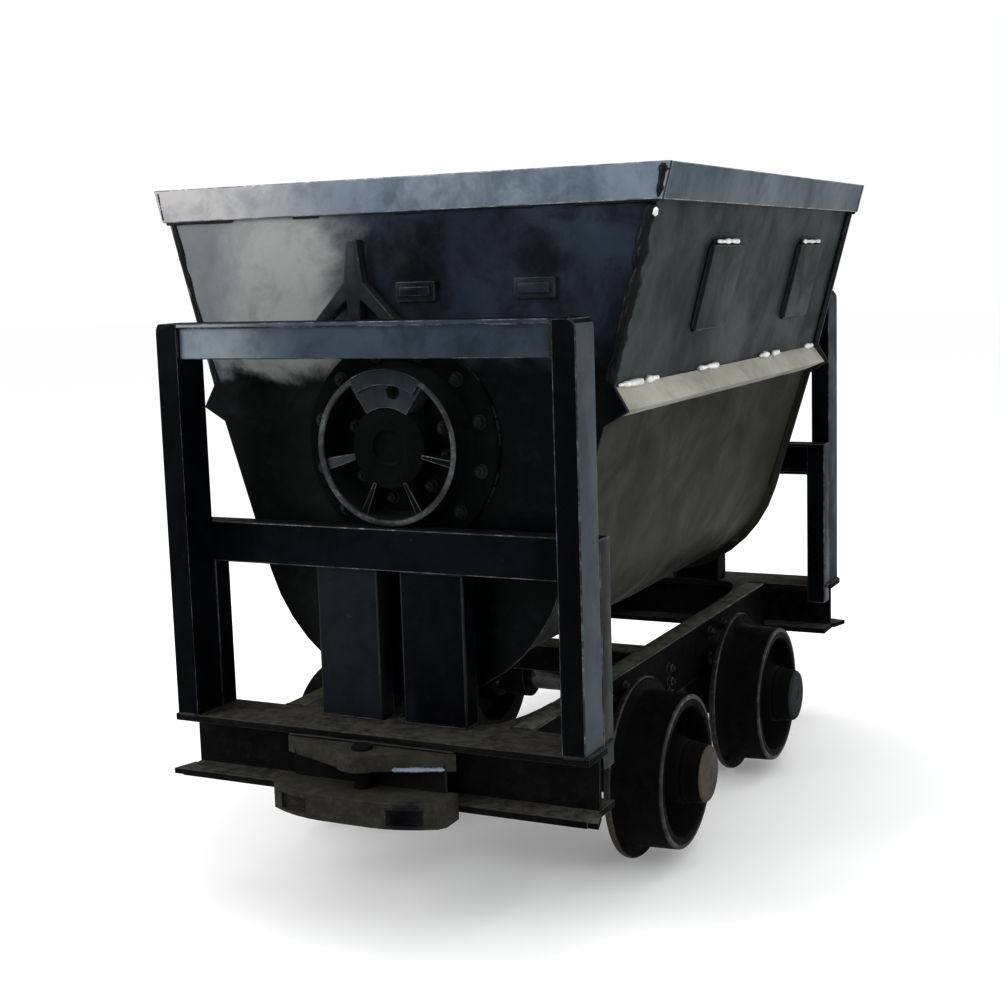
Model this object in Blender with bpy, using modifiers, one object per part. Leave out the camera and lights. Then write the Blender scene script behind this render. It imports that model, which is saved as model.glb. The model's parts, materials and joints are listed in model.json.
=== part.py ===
"""Side-tipping mine cart: a rail chassis with four flanged wheels carries a steel tub.

The tub hangs between two end frames on a rocker ring at each end and tips to either side.
X is the cart's width, Y its length, Z is up. The origin is on the ground under the middle.
"""

from math import atan2, cos, degrees, hypot, pi, radians, sin

import bmesh
import bpy
from mathutils import Euler, Matrix, Vector

# Driving dimensions, in metres.
GAP = 0.0003                # play between pieces that touch
WHEELBASE = 0.600
FLANGE_RADIUS = 0.175
TREAD_RADIUS = 0.150
WHEEL_BACK = 0.296          # inner face of the flange, from the centre line
WHEEL_FACE = 0.400          # outer face of the tread
HUB_END = 0.402             # outer end of the wheel's hub
CAP_END = 0.444             # outer end of the hub cap
AXLE_RADIUS = 0.030         # at the wheels' journals
SEAT_RADIUS = 0.034         # at the saddles
SADDLE_IN = 0.205           # faces of the axle's saddles, from the centre line
SADDLE_OUT = 0.262

FRAME_END = 0.802           # front edge of the end beams and end frames
BEAM_BACK = 0.680
DECK_HALF = 0.412           # half width of an end beam's top flange
FOOT_HALF = 0.425           # half width of its bottom flange
BEAM_LOW = 0.229
DECK_TOP = 0.346
BEAM_FLANGE = 0.012
WEB_FRONT = 0.745           # front face of an end beam's web
BEAM_WEB = 0.008
POST_OUT = 0.406            # outer face of every post
POST_THICK = 0.043
POST_DEEP = 0.076
FRAME_TOP = 1.058
TOP_BEAM_TALL = 0.063
STEEL = 0.008               # web and flange thickness of the frame channels
TUBE_WALL = 0.005           # wall of the posts' and legs' box section

SILL_IN = 0.210
SILL_OUT = 0.255

PIVOT_Z = 0.834             # centre of the rocker rings
RING_RADIUS = 0.139         # outer radius of the rolling ring
RING_WALL = 0.015
DISC_RADIUS = 0.190
HUB_RADIUS = 0.074
ROCKER_TOP = PIVOT_Z - RING_RADIUS - GAP
ROCKER_TALL = 0.075
ROCKER_FRONT = 0.723
COLUMN_FRONT = 0.713
COLUMN_BACK = 0.668

RIM_TOP = 1.300
RIM_TALL = 0.060
RIM_OUT = 0.021             # how far the band stands out from the wall, all the way down
RIM_HALF_LENGTH = 0.650
SHEET = 0.008               # thickness of the tub's sheet
TUB_HALF_LENGTH = 0.641     # outer face of the end plates
WALL_TOP = 0.489            # half width of the tub at the rim
SHEET_DROP = 0.004          # how far the sheet's edge lies below the rim's top
KNEE = (0.390, 0.930)       # where the side wall turns down into the trough
TROUGH_RADIUS = 0.294
TROUGH_Z = 0.685
PLATE_LIP = 0.018           # how far the end plates stand out beyond the sheet

JAW_FRONT = 0.895
JAW_BASE = 0.217
JAW_LOW = 0.262             # floor of the slot between the jaws
JAW_ROOF = 0.300            # underside of the upper jaw
JAW_TOP = 0.330
JAW_NECK = 0.811            # front of the wall between the jaws
PIN_Y = 0.828
PIN_RADIUS = 0.0145
PIN_LOW = 0.205

PAINT = ((0.030, 0.034, 0.045), 0.35, 0.0)
TUB_PAINT = ((0.060, 0.068, 0.078), 0.40, 0.0)
DUSTY = ((0.120, 0.110, 0.085), 0.75, 0.0)
CAST = ((0.035, 0.034, 0.033), 0.60, 0.4)
BARE = ((0.30, 0.29, 0.27), 0.45, 0.9)

for old in list(bpy.data.objects):
    bpy.data.objects.remove(old, do_unlink=True)

parts = bpy.data.collections.new("mine_cart")
cutters = bpy.data.collections.new("mine_cart_cutters")
bpy.context.scene.collection.children.link(parts)
bpy.context.scene.collection.children.link(cutters)

# Turns a flat outline so that its normal lies along the named axis. The outline is drawn in
# the other two axes, in the order X Y, Y Z or X Z.
FACING = {
    "Z": Euler((0, 0, 0)),
    "X": Euler((pi / 2, 0, pi / 2)),
    "Y": Euler((pi / 2, 0, 0)),
}


def paint(obj, finish):
    """Gives a piece its own material."""
    colour, roughness, metallic = finish
    mat = bpy.data.materials.new(obj.name + "_finish")
    mat.use_nodes = True
    shader = mat.node_tree.nodes["Principled BSDF"]
    shader.inputs["Base Color"].default_value = (*colour, 1)
    shader.inputs["Roughness"].default_value = roughness
    shader.inputs["Metallic"].default_value = metallic
    mat.diffuse_color = (*colour, 1)
    obj.data.materials.clear()
    obj.data.materials.append(mat)


def add(name, mesh, finish=PAINT, cutter=False):
    """Links a mesh as a part, or as a helper that the Booleans use."""
    obj = bpy.data.objects.new(name, mesh)
    (cutters if cutter else parts).objects.link(obj)
    if cutter:
        obj.hide_render = True
        obj.display_type = "WIRE"
    else:
        paint(obj, finish)
    return obj


def closed_mesh(source, name):
    """The evaluated shape of a curve or turned profile as a welded mesh, faces outwards."""
    bpy.context.view_layer.update()
    evaluated = source.evaluated_get(bpy.context.evaluated_depsgraph_get())
    mesh = bpy.data.meshes.new_from_object(evaluated)
    mesh.name = name
    work = bmesh.new()
    work.from_mesh(mesh)
    bmesh.ops.remove_doubles(work, verts=work.verts, dist=0.00001)
    bmesh.ops.dissolve_degenerate(work, edges=work.edges, dist=0.00001)
    bmesh.ops.dissolve_limit(work, angle_limit=radians(0.5), verts=work.verts, edges=work.edges)
    bmesh.ops.recalc_face_normals(work, faces=work.faces)
    work.to_mesh(mesh)
    work.free()
    bpy.data.objects.remove(source, do_unlink=True)
    return mesh


def plate(name, loops, low, high, facing="Z", finish=PAINT, cutter=False):
    """A flat piece: the first loop is its outline, the others are holes.

    It fills the space from low to high along the axis that it faces.
    """
    curve = bpy.data.curves.new(name, "CURVE")
    curve.dimensions = "2D"
    curve.fill_mode = "BOTH"
    curve.extrude = (high - low) / 2
    for loop in loops:
        spline = curve.splines.new("POLY")
        spline.points.add(len(loop) - 1)
        for point, (u, v) in zip(spline.points, loop):
            point.co = (u, v, 0, 1)
        spline.use_cyclic_u = True
    flat = bpy.data.objects.new(name, curve)
    bpy.context.scene.collection.objects.link(flat)
    obj = add(name, closed_mesh(flat, name), finish, cutter)
    obj.rotation_euler = FACING[facing]
    obj.location["XYZ".index(facing)] = (low + high) / 2
    return obj


def turned(name, profile, steps, finish=PAINT, cutter=False):
    """A piece turned about its local Z from a profile of (radius, height) points.

    A profile that starts on the axis also ends on it; any other profile is a closed loop.
    """
    mesh = bpy.data.meshes.new(name)
    edges = [(i, i + 1) for i in range(len(profile) - 1)]
    if profile[0][0] > 0:
        edges.append((len(profile) - 1, 0))
    mesh.from_pydata([(r, 0, z) for r, z in profile], edges, [])
    lathe = bpy.data.objects.new(name, mesh)
    bpy.context.scene.collection.objects.link(lathe)
    screw = lathe.modifiers.new("turn", "SCREW")
    screw.steps = screw.render_steps = steps
    screw.use_merge_vertices = True
    screw.merge_threshold = 0.00001
    obj = add(name, closed_mesh(lathe, name), finish, cutter)
    obj.data.shade_smooth()
    obj.data.set_sharp_from_angle(angle=radians(35))
    return obj


def boolean(base, other, operation):
    change = base.modifiers.new(other.name, "BOOLEAN")
    change.object = other
    change.operation = operation
    change.solver = "EXACT"


def join(base, *others):
    for other in others:
        boolean(base, other, "UNION")


def cut(base, *others):
    for other in others:
        boolean(base, other, "DIFFERENCE")


def rectangle(u0, v0, u1, v1):
    return [(u0, v0), (u1, v0), (u1, v1), (u0, v1)]


def arc(u, v, radius, start, end, steps):
    """Points on an arc about (u, v), from one angle in degrees to another."""
    turns = [radians(start + (end - start) * i / steps) for i in range(steps + 1)]
    return [(u + radius * cos(t), v + radius * sin(t)) for t in turns]


def circle(u, v, radius, steps=24):
    return arc(u, v, radius, 0, 360, steps)[:-1]


def rounded(u0, v0, u1, v1, radius, steps=3):
    """A rectangle with round corners."""
    return (arc(u1 - radius, v1 - radius, radius, 0, 90, steps)
            + arc(u0 + radius, v1 - radius, radius, 90, 180, steps)
            + arc(u0 + radius, v0 + radius, radius, 180, 270, steps)
            + arc(u1 - radius, v0 + radius, radius, 270, 360, steps))


def channel(u0, v0, u1, v1, web):
    """A channel section in the given box, with its web on the side "u0", "u1", "v0" or "v1"."""
    a, b, c, d = u0 + STEEL, v0 + STEEL, u1 - STEEL, v1 - STEEL
    return {
        "u0": [(u0, v0), (u1, v0), (u1, b), (a, b), (a, d), (u1, d), (u1, v1), (u0, v1)],
        "u1": [(u1, v1), (u0, v1), (u0, d), (c, d), (c, b), (u0, b), (u0, v0), (u1, v0)],
        "v0": [(u0, v1), (u0, v0), (u1, v0), (u1, v1), (c, v1), (c, b), (a, b), (a, v1)],
        "v1": [(u1, v0), (u1, v1), (u0, v1), (u0, v0), (a, v0), (a, d), (c, d), (c, v0)],
    }[web]


def mirrored(half):
    """A half outline at positive u, listed from top to bottom, with its mirror image."""
    return half + [(-u, v) for u, v in reversed(half)]


def at_end(loop, sign):
    """An outline drawn for the front end, turned half round for the rear end."""
    return [(-sign * u, -sign * v) for u, v in loop]


def spanned(near, far, end):
    """The low and high Y of a piece that lies from near to far of the middle, at one end."""
    return (near, far) if end > 0 else (-far, -near)


ENDS = (("front", -1), ("rear", 1))
SIDES = (("left", -1), ("right", 1))

# Chassis -------------------------------------------------------------------------------------


def sills():
    for side, sign in SIDES:
        section = [(sign * u, v) for u, v in channel(SILL_IN, BEAM_LOW, SILL_OUT, DECK_TOP, "u1")]
        reach = BEAM_BACK - GAP
        plate(side + "_sill", [section], -reach, reach, "Y", DUSTY)


def end_beam(end, sign):
    """An I-beam across the cart. Its top flange widens into a round gusset at each sill.

    A notch at each end of the top flange lets the leg of the rocker frame pass down behind the web.
    """
    gusset_in, gusset_end, steps = 0.150, 0.500, 6
    inner = SILL_IN - GAP
    leg_in, leg_front = POST_OUT - POST_THICK - GAP, ROCKER_FRONT + GAP
    half = [(DECK_HALF, -FRAME_END), (DECK_HALF, -leg_front), (leg_in, -leg_front), (leg_in, -BEAM_BACK),
            (inner, -BEAM_BACK), (inner, -gusset_end)]
    reach_u, reach_v = inner - gusset_in, BEAM_BACK - gusset_end
    for i in range(1, steps + 1):
        turn = radians(90 * i / steps)
        half.append((gusset_in + reach_u * cos(turn), -BEAM_BACK + reach_v * (1 - sin(turn))))
    beam = plate(end + "_end_beam", [mirrored(half)], DECK_TOP - BEAM_FLANGE, DECK_TOP, "Z", DUSTY)
    # The foot is set back a little from the top flange, so that no two faces are flush.
    inset = 0.001
    back, front, half_width = BEAM_BACK + inset, FRAME_END - inset, POST_OUT - inset
    floor, top, web_back = BEAM_LOW + BEAM_FLANGE, DECK_TOP - BEAM_FLANGE / 2, WEB_FRONT - BEAM_WEB
    section = [(back, BEAM_LOW), (front, BEAM_LOW), (front, floor), (WEB_FRONT, floor),
               (WEB_FRONT, top), (web_back, top), (web_back, floor), (back, floor)]
    foot = plate(end + "_beam_foot", [[(-u, v) for u, v in section]], -half_width, half_width,
                 "X", cutter=True)
    # The bottom flange runs out to a pointed toe at each end.
    toe_back, toe_in = 0.754, 0.014
    half = [(FOOT_HALF - toe_in, -toe_back), (FOOT_HALF, -front + inset)]
    toe = plate(end + "_beam_toe", [mirrored(half)], BEAM_LOW + inset, floor - inset, cutter=True)
    join(beam, foot, toe)
    if sign > 0:
        bpy.context.view_layer.update()
        for piece in (beam, foot, toe):
            piece.matrix_world = Matrix.Rotation(pi, 4, "Z") @ piece.matrix_world


def end_frame(end, sign):
    """The tall outer frame: two posts of box section with a channel between their tops."""
    low, high = spanned(FRAME_END - POST_DEEP, FRAME_END, sign)
    inner = POST_OUT - POST_THICK
    for side, hand in SIDES:
        u0, u1 = sorted((hand * inner, hand * POST_OUT))
        bore = rectangle(u0 + TUBE_WALL, low + TUBE_WALL, u1 - TUBE_WALL, high - TUBE_WALL)
        plate(f"{end}_{side}_post", [rectangle(u0, low, u1, high), bore], DECK_TOP + GAP, FRAME_TOP)
    # The web stands back under the top flange, so that the flange forms a lip.
    lip = 0.008
    front, face, web, back = (sign * v for v in (FRAME_END, FRAME_END - lip, FRAME_END - lip - STEEL,
                                                 FRAME_END - POST_DEEP))
    bottom, top = FRAME_TOP - TOP_BEAM_TALL, FRAME_TOP
    section = [(front, top), (front, top - STEEL), (face, top - STEEL), (face, bottom), (back, bottom),
               (back, bottom + STEEL), (web, bottom + STEEL), (web, top - STEEL), (back, top - STEEL),
               (back, top)]
    plate(end + "_top_beam", [section], -(inner - GAP), inner - GAP, "X")


def rocker_frame(end, sign):
    """The low inner frame that the rocker ring rolls on: a channel bar on two box legs."""
    leg_below_deck = 0.041
    low, high = spanned(BEAM_BACK, ROCKER_FRONT, sign)
    inner = POST_OUT - POST_THICK
    bar_low = ROCKER_TOP - ROCKER_TALL
    foot = DECK_TOP - leg_below_deck
    outline = [(POST_OUT, ROCKER_TOP), (POST_OUT, foot), (inner, foot), (inner, bar_low)]
    frame = plate(end + "_rocker_frame", [mirrored(outline)], low, high, "Y")
    top = ROCKER_TOP - STEEL
    hollow = rectangle(-inner, bar_low + STEEL, inner, top)
    back_low, back_high = spanned(BEAM_BACK - STEEL, ROCKER_FRONT - STEEL, sign)
    cut(frame, plate(end + "_bar_hollow", [hollow], back_low, back_high, "Y", cutter=True))
    for hand in (-1, 1):
        u0, u1 = sorted((hand * (inner + TUBE_WALL), hand * (POST_OUT - TUBE_WALL)))
        core = rectangle(u0, low + TUBE_WALL, u1, high - TUBE_WALL)
        cut(frame, plate(f"{end}_leg_hollow_{hand + 1}", [core], foot - STEEL, top, "Z", cutter=True))


def columns(end, sign):
    """Two upright channels between the deck and the rocker frame's bar."""
    low, high = spanned(COLUMN_BACK, COLUMN_FRONT, sign)
    web = "v1" if sign > 0 else "v0"
    top, wide = ROCKER_TOP - ROCKER_TALL - GAP, 0.125
    for side, u0 in (("left", -0.150), ("right", 0.020)):
        u1 = u0 + wide
        plate(f"{end}_{side}_column", [channel(u0, low, u1, high, web)], DECK_TOP + GAP, top)


def bumper(end, sign):
    """A cast bumper with two jaws, a bowed lower one and a pointed upper one, and a slot between."""
    back, nose, overlap, play = FRAME_END + GAP, 0.045, 0.004, 0.0015
    lower_half, upper_half, wall_half, shank_half = 0.170, 0.168, 0.150, 0.090
    shank_low, shank_high, shank_back = 0.245, 0.325, WEB_FRONT + 0.0005
    pocket_in, pocket_out, pocket_low, pocket_high, pocket_end = 0.078, 0.140, 0.222, 0.251, 0.866
    hole = circle(0, -PIN_Y, PIN_RADIUS + play, 16)
    bow = [(u, -JAW_FRONT + 2.4 * (u - nose) ** 2) for u in (0.162, 0.135, 0.105, 0.075, nose)]
    half = [(lower_half, -back), (lower_half + 0.001, -0.848)] + bow
    lower = half + [(-u, v) for u, v in reversed(half)]
    upper = arc(0, -PIN_Y, nose, -35, -145, 8) + [(-upper_half, -back), (upper_half, -back)]
    lower, upper, hole = (at_end(loop, sign) for loop in (lower, upper, hole))
    casting = plate(end + "_bumper", [lower, hole], JAW_BASE, JAW_LOW, "Z", DUSTY)
    jaw = plate(end + "_upper_jaw", [upper, hole], JAW_ROOF, JAW_TOP, cutter=True)
    low, high = spanned(back, JAW_NECK, sign)
    wall = plate(end + "_jaw_wall", [rectangle(-wall_half, low, wall_half, high)],
                 (JAW_BASE + JAW_LOW) / 2, (JAW_ROOF + JAW_TOP) / 2, cutter=True)
    low, high = spanned(shank_back, JAW_NECK - overlap, sign)
    shank = plate(end + "_jaw_shank", [rectangle(-shank_half, low, shank_half, high)],
                  shank_low, shank_high, cutter=True)
    join(casting, wall, jaw, shank)
    low, high = spanned(pocket_end, JAW_FRONT + overlap, sign)
    for hand in (-1, 1):
        u0, u1 = sorted((hand * pocket_in, hand * pocket_out))
        pocket = plate(f"{end}_pocket_{hand + 1}", [rectangle(u0, pocket_low, u1, pocket_high)],
                       low, high, "Y", cutter=True)
        cut(casting, pocket)


def coupling_pin(end, sign):
    """The coupling pin stands in the jaws, hung from its low head."""
    head, head_tall, round_off, point = 0.0185, 0.007, 0.003, 0.005
    seat = JAW_TOP + GAP
    top = seat + head_tall
    profile = [(0, top), (head - round_off, top), (head, top - round_off), (head, seat),
               (PIN_RADIUS, seat), (PIN_RADIUS, PIN_LOW + point), (PIN_RADIUS - point, PIN_LOW),
               (0, PIN_LOW)]
    pin = turned(end + "_coupling_pin", profile, 16, CAST)
    pin.location = (0, sign * PIN_Y, 0)


def cross_tie():
    """A channel between the webs of the two sills."""
    low, high, half_width = 0.272, 0.330, 0.035
    section = channel(-half_width, low, half_width, high, "v1")
    reach = SILL_OUT - STEEL - GAP
    plate("cross_tie", [section], -reach, reach, "X")


def axle(end, sign):
    """The fixed axle: thick in the middle, with a journal for each wheel."""
    middle, middle_end, seat_in, seat_out, tip, chamfer = 0.038, 0.192, 0.198, 0.268, 0.392, 0.004
    half = [(0, tip), (AXLE_RADIUS - chamfer, tip), (AXLE_RADIUS, tip - chamfer), (AXLE_RADIUS, seat_out),
            (SEAT_RADIUS, seat_out), (SEAT_RADIUS, seat_in), (middle, middle_end)]
    profile = half + [(r, -z) for r, z in reversed(half)]
    bar = turned(end + "_axle", profile, 24, BARE)
    bar.location = (0, sign * WHEELBASE / 2, FLANGE_RADIUS)
    bar.rotation_euler = (0, pi / 2, 0)


def axle_box(end, side, sign, hand):
    """The saddle that holds the axle under its sill."""
    middle, radius = sign * WHEELBASE / 2, 0.058
    top = BEAM_LOW - GAP
    outline = [(middle + radius, top), (middle - radius, top)]
    outline += arc(middle, FLANGE_RADIUS, radius, 180, 360, 12)
    hole = circle(middle, FLANGE_RADIUS, SEAT_RADIUS + 0.001, 24)
    low, high = sorted((hand * SADDLE_IN, hand * SADDLE_OUT))
    plate(f"{end}_{side}_axle_box", [outline, hole], low, high, "X", CAST)


# Wheels --------------------------------------------------------------------------------------


def wheel(end, side, sign, hand):
    """A cast wheel with a flange on its inner side, its bearing and its hub cap."""
    face, back, tread, flange = WHEEL_FACE, WHEEL_BACK, TREAD_RADIUS, FLANGE_RADIUS
    hub, bore, rim_in, root, hub_back = 0.060, 0.048, 0.122, 0.076, 0.284
    web_face, web_back, taper, fillet = 0.356, 0.334, 0.003, 0.006
    flange_face, throat = back + 0.009, back + 0.025
    profile = [
        (tread - taper, face), (tread, throat), (flange - taper, flange_face + fillet),
        (flange, flange_face), (flange - 0.002, back), (rim_in + fillet, back), (rim_in, web_back),
        (root, web_back), (hub + 0.004, hub_back), (bore, hub_back), (bore, HUB_END), (hub, HUB_END),
        (root, web_face), (rim_in, web_face), (rim_in + taper, face),
    ]
    tilt = (0, hand * pi / 2, 0)
    place = (0, sign * WHEELBASE / 2, FLANGE_RADIUS)
    disc = turned(f"{end}_{side}_wheel", profile, 32, CAST)
    disc.location, disc.rotation_euler = place, tilt
    holes, hole_radius, pitch_radius, reach = 5, 0.017, 0.099, 0.025
    low, high = sorted((hand * (web_back - reach), hand * (web_face + reach)))
    for i in range(holes):
        turn = 2 * pi * i / holes
        at = circle(place[1] + pitch_radius * cos(turn), place[2] + pitch_radius * sin(turn), hole_radius, 10)
        cut(disc, plate(f"{end}_{side}_lightening_{i}", [at], low, high, "X", cutter=True))
    cap_radius, chamfer = 0.056, 0.010
    cap = [(0, CAP_END), (cap_radius - 0.009, CAP_END), (cap_radius, CAP_END - chamfer),
           (hub, HUB_END + fillet), (hub, HUB_END + GAP), (0, HUB_END + GAP)]
    cover = turned(f"{end}_{side}_hub_cap", cap, 24, DUSTY)
    cover.location, cover.rotation_euler = place, tilt
    race_out, race_in, near, far = bore - 0.001, AXLE_RADIUS + 0.0008, 0.300, 0.384
    ring = [(race_out, far), (race_out, near), (race_in, near), (race_in, far)]
    bearing = turned(f"{end}_{side}_bearing", ring, 24, BARE)
    bearing.location, bearing.rotation_euler = place, tilt


# Tub -----------------------------------------------------------------------------------------


def tangent_angle(point, radius):
    """The angle, in degrees, at which a line from the point touches the trough's circle."""
    u, v = point[0], point[1] - TROUGH_Z
    away = hypot(u, v)
    turn = atan2(v, u) - atan2((away ** 2 - radius ** 2) ** 0.5, radius)
    return degrees(turn)


def trough_half(knee, radius, steps):
    """Half of the tub's lower outline, from the knee down to the bottom centre line."""
    start = tangent_angle(knee, radius)
    return [knee] + arc(0, TROUGH_Z, radius, start, -90, steps)


def tub_sheet():
    """The tub's sides and bottom: one bent sheet, open at the top and at both ends."""
    top = RIM_TOP - SHEET_DROP
    half = [(wall_u(top), top)] + trough_half(KNEE, TROUGH_RADIUS, 8)
    section = half + [(-u, v) for u, v in reversed(half[:-1])]
    reach = TUB_HALF_LENGTH - SHEET - GAP
    mesh = bpy.data.meshes.new("tub_sheet")
    verts = [(u, y, v) for u, v in section for y in (-reach, reach)]
    faces = [(2 * i, 2 * i + 1, 2 * i + 3, 2 * i + 2) for i in range(len(section) - 1)]
    mesh.from_pydata(verts, [], faces)
    sheet = add("tub_sheet", mesh, TUB_PAINT)
    solid = sheet.modifiers.new("thickness", "SOLIDIFY")
    solid.thickness = SHEET
    solid.use_even_offset = True
    solid.offset = 1


def end_plate(end, sign):
    """A flat tub end. It stands out round the sheet and closes the ridge and the rim."""
    rim_low = RIM_TOP - RIM_TALL
    ridge_foot, ridge_corner, ridge_top, lip = (0.384, 0.870), (0.428, 0.896), 0.937, 0.012
    lower = trough_half(ridge_foot, TROUGH_RADIUS + PLATE_LIP, 8)
    half = [(wall_u(RIM_TOP) + RIM_OUT, RIM_TOP), (wall_u(rim_low) + RIM_OUT, rim_low),
            (wall_u(rim_low) + lip, rim_low), (wall_u(ridge_top) + lip, ridge_top), ridge_corner]
    half += lower[:-1]
    outline = half + [(0, TROUGH_Z - TROUGH_RADIUS - PLATE_LIP)] + [(-u, v) for u, v in reversed(half)]
    low, high = spanned(TUB_HALF_LENGTH - SHEET, TUB_HALF_LENGTH, sign)
    plate(end + "_end_plate", [outline], low, high, "Y", TUB_PAINT)


def rim():
    """The band round the tub's mouth: a flat bar at each end, an angle along each side."""
    low = RIM_TOP - RIM_TALL
    for end, sign in ENDS:
        near, far = spanned(TUB_HALF_LENGTH + GAP, RIM_HALF_LENGTH, sign)
        bar = [(wall_u(z) + RIM_OUT, z) for z in (RIM_TOP, low)]
        plate(end + "_rim_bar", [mirrored(bar)], near, far, "Y", TUB_PAINT)
    reach = TUB_HALF_LENGTH - SHEET - GAP
    top_leg, play = 0.006, 0.0008
    inner, under = RIM_OUT - STEEL, RIM_TOP - top_leg
    for side, hand in SIDES:
        section = [(wall_u(RIM_TOP) + RIM_OUT, RIM_TOP), (wall_u(low) + RIM_OUT, low),
                   (wall_u(low) + inner, low), (wall_u(under) + inner, under),
                   (wall_u(RIM_TOP) + play, under), (wall_u(RIM_TOP) + play, RIM_TOP)]
        plate(side + "_rim_angle", [[(hand * u, v) for u, v in section]], -reach, reach, "Y", TUB_PAINT)


def wall_u(z):
    """Half width of the tub's outer face at a height, above or below the knee."""
    if z > KNEE[1]:
        return KNEE[0] + (z - KNEE[1]) * (WALL_TOP - KNEE[0]) / (RIM_TOP - KNEE[1])
    start = radians(tangent_angle(KNEE, TROUGH_RADIUS))
    return KNEE[0] + (z - KNEE[1]) * -sin(start) / cos(start)


def ridges():
    """The angle iron along each knee, with its corner outwards and both edges on the wall."""
    play, corner, inner_corner = 0.001, (0.421, 0.8965), (0.4125, 0.8990)
    top, top_in, foot_in, foot = ((wall_u(z) + play, z) for z in (0.9345, 0.9270, 0.8850, 0.8775))
    section = [top, corner, foot, foot_in, inner_corner, top_in]
    reach = TUB_HALF_LENGTH - SHEET - GAP
    for side, hand in SIDES:
        plate(side + "_ridge_angle", [[(hand * u, v) for u, v in section]], -reach, reach, "Y", TUB_PAINT)


def stiffeners():
    """Two raised plates on each side wall, lying along its slope."""
    slope = atan2(WALL_TOP - KNEE[0], RIM_TOP - KNEE[1])
    middle_z, tall, thick, corner = 1.093, 0.160, 0.012, 0.008
    wall = wall_u(middle_z)
    for side, hand in SIDES:
        for end, y0, y1 in (("front", -0.290, -0.115), ("rear", 0.285, 0.455)):
            loop = rounded(-(y1 - y0) / 2, -tall / 2, (y1 - y0) / 2, tall / 2, corner)
            pad = plate(f"{end}_{side}_wall_plate", [loop], GAP, thick, "X", TUB_PAINT)
            lift = (GAP + thick) / 2
            out = Vector((cos(slope), 0, -sin(slope))) * lift
            pad.location = (hand * (wall + out.x), (y0 + y1) / 2, middle_z + out.z)
            tilt = Matrix.Rotation(hand * slope, 4, "Y") @ FACING["X"].to_matrix().to_4x4()
            pad.rotation_euler = tilt.to_euler()


def rocker_ring(end, sign):
    """The casting on the tub's end: a backing disc, an open ring, a hub and ribs."""
    disc_back, disc_face, ring_face, hub_face = TUB_HALF_LENGTH + GAP, 0.654, 0.708, 0.698
    overlap, rib_half, rib_drop = 0.005, 0.006, 0.008

    def layer(name, loops, low, high, cutter=True):
        at = [[(-sign * u, v + PIVOT_Z) for u, v in loop] for loop in loops]
        low, high = spanned(low, high, sign)
        return plate(end + name, at, low, high, "Y", CAST, cutter)

    casting = layer("_rocker_ring", [circle(0, 0, DISC_RADIUS, 32)], disc_back, disc_face, False)
    inner, root = RING_RADIUS - RING_WALL, disc_face - overlap / 2
    rolling = [circle(0, 0, RING_RADIUS, 40), circle(0, 0, inner, 40)]
    join(casting, layer("_ring_wall", rolling, root - 0.001, ring_face))
    join(casting, layer("_ring_hub", [circle(0, 0, HUB_RADIUS, 24)], root - 0.0005, hub_face))
    sector = arc(0, 0, inner + overlap, 57, 121, 8) + arc(0, 0, HUB_RADIUS - overlap, 121, 57, 6)
    join(casting, layer("_ring_sector", [sector], root, ring_face - rib_drop / 2))
    for i, angle in enumerate((194, 246, 297, 348)):
        turn = radians(angle)
        along, across = Vector((cos(turn), sin(turn))), Vector((-sin(turn), cos(turn))) * rib_half
        near, far = along * (HUB_RADIUS - overlap), along * (inner + overlap)
        rib = [tuple(near - across), tuple(far - across), tuple(far + across), tuple(near + across)]
        join(casting, layer(f"_ring_rib_{i}", [rib], root, ring_face - rib_drop))


def end_rib(end, sign):
    """A forked stiffening rib on the end plate, above the ring."""
    middle, low, fork, high, depth = -0.077, 1.030, 1.122, 1.195, 0.025
    outline = [(0.010, high), (0.019, fork), (0.105, low), (0.085, low), (0.014, fork - 0.032),
               (0.010, low), (-0.010, low), (-0.014, fork - 0.032), (-0.085, low), (-0.105, low),
               (-0.019, fork), (-0.010, high)]
    near, far = spanned(TUB_HALF_LENGTH + GAP, TUB_HALF_LENGTH + depth, sign)
    shifted = [(-sign * (u + middle), v) for u, v in outline]
    plate(end + "_end_rib", [shifted], near, far, "Y", TUB_PAINT)


sills()
cross_tie()
tub_sheet()
rim()
ridges()
stiffeners()
for end_name, end_sign in ENDS:
    end_beam(end_name, end_sign)
    end_frame(end_name, end_sign)
    rocker_frame(end_name, end_sign)
    columns(end_name, end_sign)
    bumper(end_name, end_sign)
    coupling_pin(end_name, end_sign)
    axle(end_name, end_sign)
    end_plate(end_name, end_sign)
    rocker_ring(end_name, end_sign)
    end_rib(end_name, end_sign)
    for side_name, side_sign in SIDES:
        axle_box(end_name, side_name, end_sign, side_sign)
        wheel(end_name, side_name, end_sign, side_sign)
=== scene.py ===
"""The looks of the side-tipping mine cart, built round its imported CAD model.

Every CAD solid gets a detailed stand-in: most are the solid itself with worn, rounded edges,
and the wheels, hub caps, rings and coupling pins are turned afresh with finer facets.
"""

import json
from math import cos, hypot, pi, radians, sin

import bmesh
import bpy
from mathutils import Matrix, Vector, noise

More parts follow.
